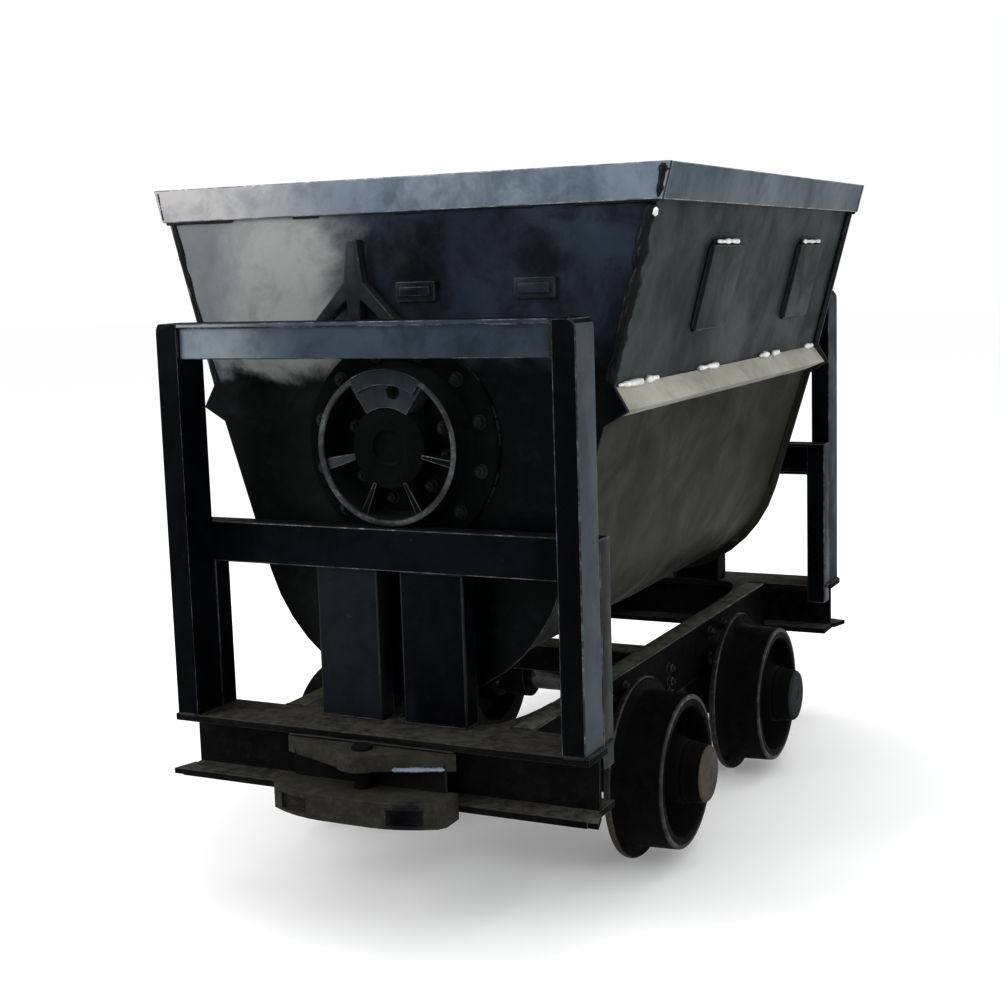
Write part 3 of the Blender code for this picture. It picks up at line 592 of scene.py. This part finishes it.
def weld_line(work, start, end, radius, seed=0, index=0, lump=0.35, mirror=(1, 1)):
    """A bead of weld between two points: a thin rod with ripples of uneven size.

    The points' x and y are multiplied by mirror, so that one call serves both sides and ends.
    """
    start, end = (Vector((mirror[0] * x, mirror[1] * y, z)) for x, y, z in (start, end))
    along = (end - start).normalized()
    side = along.orthogonal().normalized()
    other = along.cross(side)
    count = max(4, int((end - start).length / (radius * 1.1)))
    around = 7
    rings = []
    for i in range(count + 1):
        t = i / count
        middle = start.lerp(end, t)
        ripple = 1 + 0.16 * (i % 2) + lump * noise.noise(middle * 42 + Vector((seed, 0, 0)))
        wander = other * radius * 0.35 * noise.noise(middle * 17 + Vector((0, seed, 0)))
        size = radius * ripple * (0.45 if i in (0, count) else 1)
        rings.append([work.verts.new(middle + wander + (side * cos(a) + other * sin(a)) * size)
                      for a in (2 * pi * k / around for k in range(around))])
    made = []
    for a, b in zip(rings, rings[1:]):
        for k in range(around):
            j = (k + 1) % around
            made.append(work.faces.new((a[k], a[j], b[j], b[k])))
    made.append(work.faces.new(list(reversed(rings[0]))))
    made.append(work.faces.new(rings[-1]))
    for face in made:
        face.material_index = index


def hex_bolt(work, place, along, across, tall, washer=True, index=0):
    """A bolt's end on a round washer: a chamfered nut and the tip of the thread."""
    radius = across / 2 / cos(pi / 6)
    sunk = 0.001
    start = 0.003 if washer else 0.0
    top = start + tall
    tip = top + 0.005
    if washer:
        lathe(work, [(0, start), (radius * 1.28, start), (radius * 1.34, start * 0.8), (radius * 1.34, -sunk),
                     (0, -sunk)], place, along, 20, index)
    lathe(work, [(0, top), (radius * 0.80, top), (radius, start + tall * 0.78),
                 (radius, start - sunk), (0, start - sunk)], place, along, 6, index)
    lathe(work, [(0, tip), (radius * 0.42, tip), (radius * 0.48, tip - 0.0015),
                 (radius * 0.48, top - sunk), (0, top - sunk)], place, along, 14, index)


# Frame ----------------------------------------------------------------------------------------

# Ending of a node's name: its materials, slot, edge rounding, and the axis along which its outward
# faces take the third material, a lighter paint that stands for painted light on those sides.
DRESSED = {
    "post": (("frame", "frame_edge", "frame_lit_side"), "frame_paint", 0.0035, "x"),
    "top_beam": (("frame", "frame_edge", "beam_face_lit"), "frame_paint", 0.0018, "y"),
    "rocker_frame": (("frame", "frame_edge", "rib"), "frame_paint", 0.0030, "x"),
    "column": (("column", "column_edge"), "frame_paint", 0.0040, None),
    "end_beam": (("deck", "deck_edge"), "deck_paint", 0.0022, None),
    "sill": (("sill", "deck_edge"), "deck_paint", 0.0030, None),
    "cross_tie": (("sill", "deck_edge"), "deck_paint", 0.0025, None),
    "axle_box": (("cast", "frame_edge"), "cast_steel", 0.0040, None),
    "axle": (("steel", "steel"), "bare_steel", 0.0010, None),
    "bearing": (("steel", "steel"), "bare_steel", 0.0012, None),
    "ridge_angle": (("ridge", "ridge"), "ridge_paint", 0.0018, None),
    "rim_bar": (("rim", "rim_edge"), "rim_paint", 0.0022, None),
    "rim_angle": (("rim_side", "rim_edge"), "rim_paint", 0.0018, None),
    "wall_plate": (("tub_side", "plate_edge"), "tub_paint", 0.0035, None),
    "end_rib": (("rib", "tub_edge"), "tub_paint", 0.0025, None),
}


def round_top(work):
    """Rounds a post's top outer edge, which runs along Y."""
    top = max(v.co.z for v in work.verts)
    outer = max(abs(v.co.x) for v in work.verts)
    edges = [e for e in work.edges
             if all(abs(v.co.z - top) < 1e-4 and abs(abs(v.co.x) - outer) < 1e-4 for v in e.verts)]
    bmesh.ops.bevel(work, geom=edges, offset=0.017, segments=6, profile=0.5, affect="EDGES", material=0)


def dress_nodes():
    """Gives the plain members their worn edges, and painted light on some members' outward faces."""
    for node in sorted(frame["nodes"]):
        for ending, (materials, slot, width, outward) in DRESSED.items():
            if node.endswith(ending):
                work = carried(node)
                if ending == "post":
                    round_top(work)
                soften(work, width, 3 if width > 0.003 else 2)
                work.normal_update()
                # Outward faces take the third material, a lighter paint: painted light.
                for face in work.faces:
                    if outward and face.material_index == 0:
                        middle = face.calc_center_median()
                        facing = getattr(face.normal, outward) * (1 if getattr(middle, outward) > 0 else -1)
                        if facing > 0.9:
                            face.material_index = 2
                piece(node + "_shown", work, materials, frame["nodes"][node]["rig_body"], [node])
                break


def bumpers():
    """The bumper castings, with soft corners and painted shade on the wall between their jaws."""
    slot_low, slot_high = 0.2635, 0.2985
    for end, sign in ENDS:
        node = end + "_bumper"
        work = carried(node)
        soften(work, 0.0045, 3, 30)
        bmesh.ops.triangulate(work, faces=[f for f in work.faces if len(f.verts) > 4])
        work.normal_update()
        # The back wall between the jaws takes the painted shade.
        for face in work.faces:
            if face.normal.y * sign > 0.5 and slot_low < face.calc_center_median().z < slot_high:
                face.material_index = 3
        # The upper jaw's lower edge is rubbed bright on one side of its nose.
        weld_line(work, (0.066, 0.8426, 0.3035), (0.150, 0.8096, 0.3035), 0.0042, 2, 2, 0.3, (-sign, sign))
        piece(node + "_shown", work, ("bumper", "bumper_edge", "rubbed", "slot"), "chassis",
              [node])


def coupling_pins():
    for end, _ in ENDS:
        node = end + "_coupling_pin"
        low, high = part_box(node)
        work = bmesh.new()
        radius, head = 0.0145, (high.x - low.x) / 2
        under = 0.3303  # the head's underside
        profile = [(0, high.z), (head - 0.005, high.z), (head - 0.0015, high.z - 0.0015),
                   (head, high.z - 0.004), (head, under), (radius, under), (radius, low.z + 0.005),
                   (radius - 0.005, low.z), (0, low.z)]
        lathe(work, profile, (0, (low.y + high.y) / 2, 0), (0, 0, 1), 40)
        piece(node + "_shown", work, ("cast",), "pin_" + end, [node])


# Wheels ---------------------------------------------------------------------------------------


def wheel_solid():
    """One wheel at the origin, turned about X with its outer face to +X, as a bmesh."""
    work = bmesh.new()
    outer = [(0.1445, 0.4000), (0.1468, 0.3985), (0.1475, 0.3960), (0.1500, 0.3225), (0.1520, 0.3175),
             (0.1570, 0.3145), (0.1690, 0.3125), (0.1730, 0.3105), (0.1750, 0.3075), (0.1750, 0.3015),
             (0.1738, 0.2980), (0.1710, 0.2962), (0.1680, 0.2960), (0.1300, 0.2960), (0.1262, 0.2975),
             (0.1245, 0.3005), (0.1225, 0.3270), (0.1205, 0.3320), (0.1150, 0.3345), (0.0790, 0.3345),
             (0.0740, 0.3320), (0.0700, 0.3200), (0.0645, 0.2870), (0.0620, 0.2842), (0.0480, 0.2842),
             (0.0480, 0.4010), (0.0490, 0.4018), (0.0590, 0.4018), (0.0610, 0.4000), (0.0630, 0.3950),
             (0.0700, 0.3660), (0.0740, 0.3590), (0.0800, 0.3562), (0.1130, 0.3555), (0.1185, 0.3575),
             (0.1210, 0.3630), (0.1235, 0.3950), (0.1250, 0.3985), (0.1280, 0.4000), (0.1385, 0.4000)]
    steps = 96
    made = lathe(work, outer, (0, 0, 0), (1, 0, 0), steps)
    # Which rings of faces, counted from the outer edge, are tread, flange crest with its painted highlight,
    # and worn edge.
    for rings, index in ((range(2, 12), 1), ((7, 8, 9), 3), ((0, 1, len(outer) - 1), 2)):
        for ring in rings:
            for face in made[ring * steps:(ring + 1) * steps]:
                face.material_index = index
    return work


def lightening_cutter():
    """Five round holes in the wheel's web, as one cutter."""
    work = bmesh.new()
    holes, circle, radius = 5, 0.099, 0.0175
    for i in range(holes):
        turn = 2 * pi * i / holes + pi / 2
        middle = (0, circle * cos(turn), circle * sin(turn))
        lathe(work, [(0, 0.37), (radius, 0.37), (radius, 0.30), (0, 0.30)], middle, (1, 0, 0), 28)
    bmesh.ops.recalc_face_normals(work, faces=work.faces)
    return work


def cut_solid(work, cutter):
    """The first bmesh less the second, by an exact Boolean."""
    objects = []
    for name, part in (("base", work), ("cutter", cutter)):
        bmesh.ops.recalc_face_normals(part, faces=part.faces)
        mesh = bpy.data.meshes.new(name)
        part.to_mesh(mesh)
        part.free()
        for key in ("wheel", "tread", "wheel_edge", "flange"):
            mesh.materials.append(MAT[key])
        objects.append(bpy.data.objects.new(name, mesh))
        bpy.context.scene.collection.objects.link(objects[-1])
    base, tool = objects
    change = base.modifiers.new("cut", "BOOLEAN")
    change.object = tool
    change.solver = "EXACT"
    bpy.context.view_layer.update()
    result = bmesh.new()
    evaluated = base.evaluated_get(bpy.context.evaluated_depsgraph_get())
    mesh = bpy.data.meshes.new_from_object(evaluated)
    result.from_mesh(mesh)
    bmesh.ops.remove_doubles(result, verts=result.verts, dist=0.000005)
    for obj in objects:
        bpy.data.objects.remove(obj, do_unlink=True)
    return result


def wheels():
    """Four copies of one turned wheel, each with its hub cap."""
    cut = cut_solid(wheel_solid(), lightening_cutter())
    rim, root, steps = CAP_END - 0.0012, 0.4026, 72
    cap = [(0, rim), (0.0120, rim), (0.0135, CAP_END), (0.0480, CAP_END), (0.0515, rim),
           (0.0545, CAP_END - 0.0045), (0.0560, CAP_END - 0.0095), (0.0568, CAP_END - 0.0150),
           (0.0580, 0.4130), (0.0588, 0.4100), (0.0600, 0.4080), (0.0600, root), (0, root)]
    for end, sign in ENDS:
        for side, hand in SIDES:
            middle = Vector((0, sign * WHEEL_Y, WHEEL_Z))
            turn = Matrix.Identity(4) if hand > 0 else Matrix.Rotation(pi, 4, "Z")
            spin = Matrix.Rotation(0.35 + 0.8 * (sign + hand), 4, "X")
            body = f"wheel_{end}_{side}"
            work = cut.copy()
            bmesh.ops.transform(work, matrix=Matrix.Translation(middle) @ turn @ spin, verts=work.verts)
            node = f"{end}_{side}_wheel"
            piece(node + "_shown", work, ("wheel", "tread", "wheel_edge", "flange"), body,
                  [node], 30)
            work = bmesh.new()
            made = lathe(work, cap, middle, (hand, 0, 0), steps)
            for face in made[5 * steps:]:  # the cap's side, behind its rounded rim
                face.material_index = 1
            node = f"{end}_{side}_hub_cap"
            # The front caps take the lighter brown casting as painted light.
            skin = "cap_front_lit" if sign < 0 else "cap"
            piece(node + "_shown", work, (skin, "wheel"), body, [node])
    cut.free()


# Tub ------------------------------------------------------------------------------------------


def dent(co, amount, size, seed):
    """How far a point of a buckled plate lies out of true."""
    return amount * noise.noise(Vector((co.x * size + seed, co.y * size, co.z * size)))


def wall_u(z):
    """Half width of the tub's outer face at a height."""
    return KNEE[0] + (z - KNEE[1]) * (WALL_SLOPE if z > KNEE[1] else TROUGH_SLOPE)


def tub_sheet():
    """The bent sheet: slightly dented sides, an olive trough and a scuffed inside."""
    work = carried("tub_sheet")
    facet_grid(work, 0.055, (1, 2))
    facet_grid(work, 0.070, (0,))
    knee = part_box("left_ridge_angle")[0].z + 0.03
    rim_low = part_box("front_rim_bar")[0].z
    sheet_end, border = 0.632, 0.08  # the dents fade out over the border beside each end plate
    for vert in work.verts:
        edge = min(1.0, (sheet_end - abs(vert.co.y)) / border)
        if vert.co.z < rim_low and edge > 0:
            away = Vector((vert.co.x, 0, 0.5 * (vert.co.z - 0.9))).normalized()
            vert.co += away * dent(vert.co, 0.0022 * edge, 4.2, 1.7)
    bmesh.ops.recalc_face_normals(work, faces=work.faces)
    for face in work.faces:
        middle = face.calc_center_median()
        inward = face.normal.dot(Vector((middle.x, 0, middle.z - 1.0))) < 0
        if abs(face.normal.y) > 0.5:
            face.material_index = 0
        elif inward:
            face.material_index = 2
        else:
            face.material_index = 0 if middle.z > knee else 1
    piece("tub_sheet_shown", work, ("tub_side", "trough", "tub_inner"), "tub", ["tub_sheet"], 28)


def end_plates():
    """The tub's flat ends, a little buckled between their welded edges."""
    for end, sign in ENDS:
        node = end + "_end_plate"
        work = carried(node)
        soften(work, 0.0016, 2, 40)
        facet_grid(work, 0.042, (0, 2))
        bmesh.ops.recalc_face_normals(work, faces=work.faces)
        for vert in work.verts:
            # The plate stays true along its sides, at the rim and round the ring's disc.
            away = hypot(vert.co.x, (vert.co.z - 0.90))
            inside = max(0.0, 1 - abs(vert.co.x) / 0.43) * max(0.0, min(1.0, (RIM_SEAM - vert.co.z) / 0.1))
            calm = min(1.0, max(0.0, (away - 0.2) / 0.12))
            vert.co.y += dent(vert.co, 0.0030 * min(1, inside * 2.5) * calm, 5.0, 7.7 + sign)
        for hand in (-1, 1):
            for slope in (WALL_SLOPE, TROUGH_SLOPE):
                cut_along(work, (hand * KNEE[0], 0, KNEE[1]), (hand, 0, -slope))
        work.normal_update()
        for face in work.faces:
            if face.normal.y * sign < -0.5:
                # The back: inside the tub, or on the lip that stands out past the sheet.
                middle = face.calc_center_median()
                if middle.z > ROUND_TOP:
                    inside = abs(middle.x) < wall_u(middle.z)
                else:
                    inside = hypot(middle.x, middle.z - TROUGH[0]) < TROUGH[1] - 0.012
                face.material_index = 2 if inside else 4 if middle.z < KNEE[1] else 3
        piece(node + "_shown", work, ("tub_end", "tub_edge", "tub_inner", "tub_side", "trough"), "tub",
              [node], 30)


def rocker_rings():
    """The ring castings: backing disc, open ring, hub, ribs, closed sector and bolts, with painted light on
    the sector and one rib.
    """
    for end, sign in ENDS:
        node = end + "_rocker_ring"
        middle = (0, 0, PIVOT_Z)
        out = (0, sign, 0)
        work = bmesh.new()
        disc = [(0, DISC_FACE), (0.184, DISC_FACE), (0.188, 0.6525), (0.190, 0.6495), (0.190, 0.6415),
                (0, 0.6415)]
        lathe(work, disc, middle, out, 96)
        steps = 120
        wall = [(-0.010, 0.7072), (-0.0035, 0.7072), (-0.001, 0.7060), (0, 0.7035), (0, 0.665),
                (0.004, 0.657), (0.010, RING_BACK), (-0.022, RING_BACK), (-0.018, 0.657),
                (-0.0155, 0.665), (-0.0125, 0.7040), (-0.0115, 0.7060)]
        rolled = lathe(work, [(RING_RADIUS + u, v) for u, v in wall], middle, out, steps)
        for face in rolled[:2 * steps] + rolled[-2 * steps:]:
            face.material_index = 1
        hub = [(0, 0.692), (0.026, 0.692), (0.029, 0.694), (0.031, 0.698), (0.066, 0.698), (0.071, 0.696),
               (0.074, 0.691), (0.075, 0.664), (0.079, 0.657), (0.084, RING_BACK), (0, RING_BACK)]
        lathe(work, hub, middle, out, 80)

        def fin(angle, half_angle, near, far, low, high, index=0):
            """A block of the casting between two radii, about one direction seen from outside."""
            steps = max(1, int(half_angle * 24))
            turns = [angle - half_angle + 2 * half_angle * i / steps for i in range(steps + 1)]
            outline = [(far * cos(t), far * sin(t)) for t in turns]
            outline += [(near * cos(t), near * sin(t)) for t in reversed(turns)]
            outline = [(-sign * u, v + PIVOT_Z) for u, v in outline]
            low, high = sorted((sign * low, sign * high))
            part = bmesh.new()
            prism(part, outline, low, high, index)
            add_softened(work, part, 0.002)

        inside = RING_RADIUS - 0.010
        # The closed sector and the rib at 194 degrees take the lighter casting: painted light.
        fin(radians(89), radians(34), 0.070, inside, RING_BACK, 0.702, 3)
        fin(radians(89), radians(31), 0.110, RING_RADIUS - 0.0005, 0.700, 0.708, 3)
        fin(radians(194), 0.085, 0.068, inside, RING_BACK, 0.700, 3)
        for degrees_at in (246, 297, 348):
            fin(radians(degrees_at), 0.055, 0.068, inside, RING_BACK, 0.700)
        # Bolts round the ring, bolts between its ribs, and a plug on its closed sector.
        for circle, across, tall, hand, angles in (
                (0.164, 0.017, 0.008, 1, range(15, 360, 30)),
                (0.094, 0.016, 0.010, -sign, (20, 160, 216, 260, 311, 350))):
            for degrees_at in angles:
                turn = radians(degrees_at)
                place = Vector((hand * circle * cos(turn), sign * DISC_FACE, PIVOT_Z + circle * sin(turn)))
                hex_bolt(work, place, out, across, tall, True, 2)
        hex_bolt(work, Vector((-sign * 0.016, sign * 0.7015, PIVOT_Z + 0.098)), out, 0.024, 0.001, False, 0)
        piece(node + "_shown", work, ("ring", "ring_edge", "ring_bolt", "ring_sector_lit"), "tub",
              [node], 30)


def end_pads():
    """Two small raised lugs on each end, to one side of the rib."""
    for end, sign in ENDS:
        work = bmesh.new()
        for u0, u1, v0, v1 in ((0.000, 0.078, 1.085, 1.120), (0.229, 0.306, 1.086, 1.122)):
            part = bmesh.new()
            for inset, back, front in ((0.0, 0.6405, 0.650), (0.009, 0.6495, 0.654)):
                low, high = sorted((sign * back, sign * front))
                outline = [(u0 + inset, v0 + inset), (u1 - inset, v0 + inset), (u1 - inset, v1 - inset),
                           (u0 + inset, v1 - inset)]
                prism(part, [(-sign * u, v) for u, v in outline], low, high)
            add_softened(work, part, 0.0022)
        piece(end + "_end_lugs", work, ("tub_end", "tub_edge"), "tub")


# Bolts and welds ------------------------------------------------------------------------------


def tub_welds():
    """The beads round ends, discs, ribs and wall plates, and pale tack welds along the knees and the wall
    plates' tops, their pale colour a painted highlight.
    """
    work = bmesh.new()
    for sign in (-1, 1):
        for hand in (-1, 1):
            corner = (hand, sign)
            weld_line(work, (wall_u(RIM_SEAM) + 0.004, 0.6305, RIM_SEAM),
                      (wall_u(0.943) + 0.004, 0.6305, 0.943), 0.0050, 2 + hand, mirror=corner)
            weld_line(work, (wall_u(0.865) + 0.001, 0.6325, 0.865), (0.284, 0.6325, 0.600),
                      0.003, 5 + hand, mirror=corner)
            weld_line(work, (0.490, END_SEAM, 1.2385), (0.34, END_SEAM, 1.2385), 0.003, 9, mirror=corner)
        for i in range(5):
            u = -0.42 + 0.21 * i
            weld_line(work, (u, END_SEAM, 1.2390), (u + 0.055, END_SEAM, 1.2390), 0.0028, i,
                      mirror=(1, sign))
        disc, seam, parts = 0.1895, 0.6415, 3
        for k in range(10):
            a, b = radians(36 * k), radians(36 * k + 22)
            for j in range(parts):
                t0, t1 = a + (b - a) * j / parts, a + (b - a) * (j + 1) / parts
                weld_line(work, (disc * cos(t0), seam, PIVOT_Z + disc * sin(t0)),
                          (disc * cos(t1), seam, PIVOT_Z + disc * sin(t1)), 0.0035, k, mirror=(1, sign))
        for u0, v0, u1, v1 in ((-0.068, 1.122, -0.068, 1.192), (-0.086, 1.122, -0.086, 1.192),
                               (-0.066, 1.120, 0.026, 1.034), (-0.088, 1.120, -0.180, 1.034)):
            weld_line(work, (u0, END_SEAM, v0), (u1, END_SEAM, v1), 0.003, u0 * 50, mirror=(-sign, sign))
    for hand in (-1, 1):
        for y0, y1 in WALL_PLATES:
            for z in (1.013, 1.173):
                u = wall_u(z) + 0.002
                weld_line(work, (u, y0 + 0.01, z), (u, y1 - 0.01, z), 0.0030, z, mirror=(hand, 1))
            for y in (y0, y1):
                weld_line(work, (wall_u(1.02) + 0.002, y, 1.02), (wall_u(1.165) + 0.002, y, 1.165),
                          0.0028, y, mirror=(hand, 1))
    piece("tub_welds", work, ("weld",), "tub", sharp=60)

    # Ragged beads, painted over, along the end plates' outer edges and down the rim's corners.
    work = bmesh.new()
    for sign in (-1, 1):
        for hand in (-1, 1):
            size = 0.0080 if hand * sign < 0 else 0.0035
            for seed, inset in ((1, 0.006), (8, 0.001)):
                weld_line(work, (wall_u(1.236) + inset, 0.6400, 1.236),
                          (wall_u(0.942) + inset, 0.6400, 0.942), size, seed, lump=0.9, mirror=(hand, sign))
            weld_line(work, (0.5005, 0.6485, 1.296), (0.4905, 0.6485, 1.243), size * 0.8, 4, lump=0.8,
                      mirror=(hand, sign))
    piece("tub_edge_welds", work, ("weld_black",), "tub", sharp=60)

    # Tack welds painted pale as painted highlights: along the knees, on the wall plates' top edges and by the
    # front corner.
    work = bmesh.new()
    tacks = ((-0.60, -0.49), (-0.47, -0.41), (-0.19, -0.07), (0.20, 0.27), (0.29, 0.34), (0.55, 0.61))
    for spans, z, out, radius, lump in (
            (tacks, 0.9365, 0.003, 0.0055, 0.7),
            (((-0.275, -0.150), (0.298, 0.425)), 1.1742, 0.008, 0.0042, 0.6)):
        u = wall_u(z) + out
        for hand in (-1, 1):
            for y0, y1 in spans:
                weld_line(work, (u, y0, z), (u, y1, z), radius, y0, lump=lump, mirror=(hand, 1))
    weld_line(work, (0.485, -0.6460, 1.228), (0.4815, -0.6460, 1.213), 0.0042, 3, lump=0.6)
    piece("tub_tack_welds", work, ("tack_highlight",), "tub", sharp=60)


def chassis_details():
    """Welds where the frame's members meet, and the bolts of the ties and saddles."""
    work = bmesh.new()
    for sign in (-1, 1):
        for hand in (-1, 1):
            # Round the feet of post and leg, up the post's two seams, and where the sill meets the beam.
            for start, stop, radius, seed in (
                    ((0.364, 0.7265, DECK_SEAM), (0.405, 0.7265, DECK_SEAM), 0.0035, 0.7265),
                    ((0.364, 0.8005, DECK_SEAM), (0.405, 0.8005, DECK_SEAM), 0.0035, 0.8005),
                    ((0.4065, 0.729, DECK_SEAM), (0.4065, 0.799, DECK_SEAM), 0.0035, 3),
                    ((0.4065, 0.683, DECK_SEAM), (0.4065, 0.720, DECK_SEAM), 0.0035, 4),
                    ((0.3625, 0.800, 0.998), (0.3625, 0.800, 1.048), 0.0030, 5),
                    ((0.3625, 0.7255, 0.36), (0.3625, 0.7255, 0.44), 0.0030, 6),
                    ((0.213, 0.6805, 0.346), (0.252, 0.6805, 0.346), 0.0030, 7)):
                weld_line(work, start, stop, radius, seed, mirror=(hand, sign))
        for u0, u1 in ((-0.150, -0.025), (0.020, 0.145)):
            for z, radius, seed in ((DECK_SEAM, 0.0035, u0), (BAR_SEAM, 0.0030, u1)):
                weld_line(work, (u0, 0.7135, z), (u1, 0.7135, z), radius, seed, mirror=(1, sign))
            for u in (u0, u1):
                weld_line(work, (u, 0.672, DECK_SEAM), (u, 0.711, DECK_SEAM), 0.0030, u + 1,
                          mirror=(1, sign))
        weld_line(work, (-0.165, 0.8025, 0.3325), (0.165, 0.8025, 0.3325), 0.0035, 8, mirror=(1, sign))
    piece("chassis_welds", work, ("weld",), "chassis", sharp=60)

    # Three bolts for the cross tie, then four over and two in each saddle.
    work = bmesh.new()
    reach = 0.044
    for hand in (-1, 1):
        for z in (0.297, 0.269, 0.243):
            hex_bolt(work, (hand * SILL_SIDE, -0.010, z), (hand, 0, 0), 0.017, 0.008)
        for sign in (-1, 1):
            for y in (-reach, reach):
                for z in (0.255, 0.315):
                    hex_bolt(work, (hand * SILL_SIDE, sign * WHEEL_Y + y, z), (hand, 0, 0), 0.019, 0.009)
            for y in (-reach, reach):
                hex_bolt(work, (hand * 0.262, sign * WHEEL_Y + y, 0.205), (hand, 0, 0), 0.014, 0.005)
    piece("chassis_bolts", work, ("bolt",), "chassis", sharp=35)


dress_nodes()
bumpers()
coupling_pins()
wheels()
tub_sheet()
end_plates()
rocker_rings()
end_pads()
tub_welds()
chassis_details()
